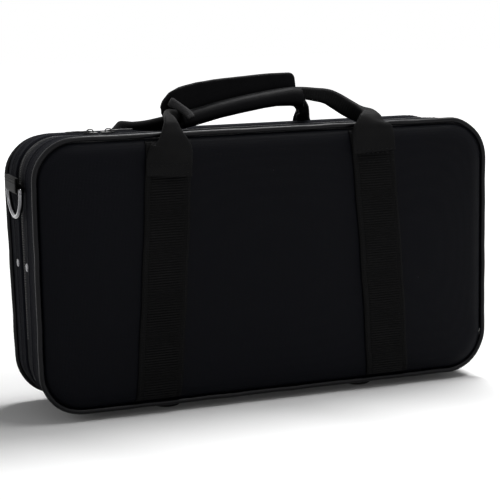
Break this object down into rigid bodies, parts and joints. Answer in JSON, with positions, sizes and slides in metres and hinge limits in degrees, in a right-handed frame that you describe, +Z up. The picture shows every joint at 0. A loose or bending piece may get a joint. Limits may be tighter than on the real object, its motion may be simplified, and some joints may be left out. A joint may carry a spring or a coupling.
{
  "type": "clarinet case",
  "caption": "Zip-up padded clarinet case: two cloth-covered foam shells with piped panels, webbing straps and carry loops, a wrapped grip and a fitted tray.",
  "frame": {"origin": "middle of the outline in X and Y, at the soles of the feet", "axes": "+X along the case to the picture's right, +Y from the pictured front face to the back, +Z up"},
  "size_m": [0.396, 0.1114, 0.2579],
  "materials": {
    "cover_cloth": "woven nylon, slight sheen",
    "panel_cloth": "woven nylon over foam, matte",
    "piping": "smooth vinyl cord, semi-gloss",
    "webbing": "ribbed webbing with flat selvedges",
    "stay_ribbon": "plain ribbon",
    "grip": "padded wrap, satin",
    "plush": "short pile",
    "zip_tape": "plain woven tape",
    "zip_coil": "spiral coil",
    "dark_metal": "dark enamel",
    "bright_metal": "bright plated",
    "foot_rubber": "matte"
  },
  "bodies": {
    "base": {"front_shell": "cover_cloth", "front_panel": "panel_cloth", "front_piping": "piping", "front_strap_left": "webbing", "front_strap_right": "webbing", "front_handle_patch_left": "webbing", "front_handle_patch_right": "webbing", "ring_tab_left": "webbing", "ring_tab_right": "webbing", "lid_stay_left": "stay_ribbon", "lid_stay_right": "stay_ribbon", "instrument_tray": "plush", "zip_tape_front": "zip_tape", "hinge_cloth": "zip_tape", "zip_teeth_front": "zip_coil", "front_stay_rivet_left": "bright_metal", "front_stay_rivet_right": "bright_metal", "front_foot_left": "foot_rubber", "front_foot_right": "foot_rubber"},
    "lid": {"back_shell": "cover_cloth", "back_panel": "panel_cloth", "back_piping": "piping", "lid_lining": "plush", "zip_tape_back": "zip_tape", "zip_teeth_back": "zip_coil", "back_strap_left": "webbing", "back_strap_right": "webbing", "back_handle_patch_left": "webbing", "back_handle_patch_right": "webbing", "back_stay_rivet_left": "bright_metal", "back_stay_rivet_right": "bright_metal", "back_foot_left": "foot_rubber", "back_foot_right": "foot_rubber"},
    "front_handle_body": {"front_handle": "webbing", "handle_grip": "grip"},
    "back_handle_body": {"back_handle": "webbing"},
    "zip_slider_left_body": {"zip_slider_left": "dark_metal"},
    "zip_slider_right_body": {"zip_slider_right": "dark_metal"},
    "zip_puller_left_body": {"zip_puller_left": "dark_metal"},
    "zip_puller_right_body": {"zip_puller_right": "dark_metal"},
    "strap_ring_left_body": {"strap_ring_left": "bright_metal"},
    "strap_ring_right_body": {"strap_ring_right": "bright_metal"}
  },
  "joints": [
    {"name": "lid_hinge", "type": "hinge", "parent": "base", "child": "lid", "pos_m": [0, 0.00157, 0.0088], "axis": [-1, 0, 0], "range_deg": [0, 95], "deforming": ["hinge_cloth", "lid_stay_left", "lid_stay_right"]},
    {"name": "front_handle_fold", "type": "hinge", "parent": "base", "child": "front_handle_body", "pos_m": [0, -0.054, 0.2083], "axis": [1, 0, 0], "range_deg": [0, 170]},
    {"name": "back_handle_fold", "type": "hinge", "parent": "lid", "child": "back_handle_body", "pos_m": [0, 0.0559, 0.2028], "axis": [-1, 0, 0], "range_deg": [0, 170]},
    {"name": "zip_slider_left_run", "type": "slide", "parent": "base", "child": "zip_slider_left_body", "axis": [-1, 0, 0], "range_m": [0, 0.02]},
    {"name": "zip_slider_right_run", "type": "slide", "parent": "base", "child": "zip_slider_right_body", "axis": [1, 0, 0], "range_m": [0, 0.267]},
    {"name": "zip_puller_left_turn", "type": "hinge", "parent": "zip_slider_left_body", "child": "zip_puller_left_body", "pos_m": [-0.131, 0.00741, 0.21925], "axis": [0, 1, 0], "range_deg": [0, 100]},
    {"name": "zip_puller_right_turn", "type": "hinge", "parent": "zip_slider_right_body", "child": "zip_puller_right_body", "pos_m": [-0.116, 0.00741, 0.21925], "axis": [0, -1, 0], "range_deg": [0, 100]},
    {"name": "strap_ring_left_turn", "type": "hinge", "parent": "base", "child": "strap_ring_left_body", "pos_m": [-0.1942, 0.00207, 0.1788], "axis": [0, 1, 0], "range_deg": [0, 150]},
    {"name": "strap_ring_right_turn", "type": "hinge", "parent": "base", "child": "strap_ring_right_body", "pos_m": [0.1942, 0.00207, 0.1788], "axis": [0, -1, 0], "range_deg": [0, 150]}
  ]
}
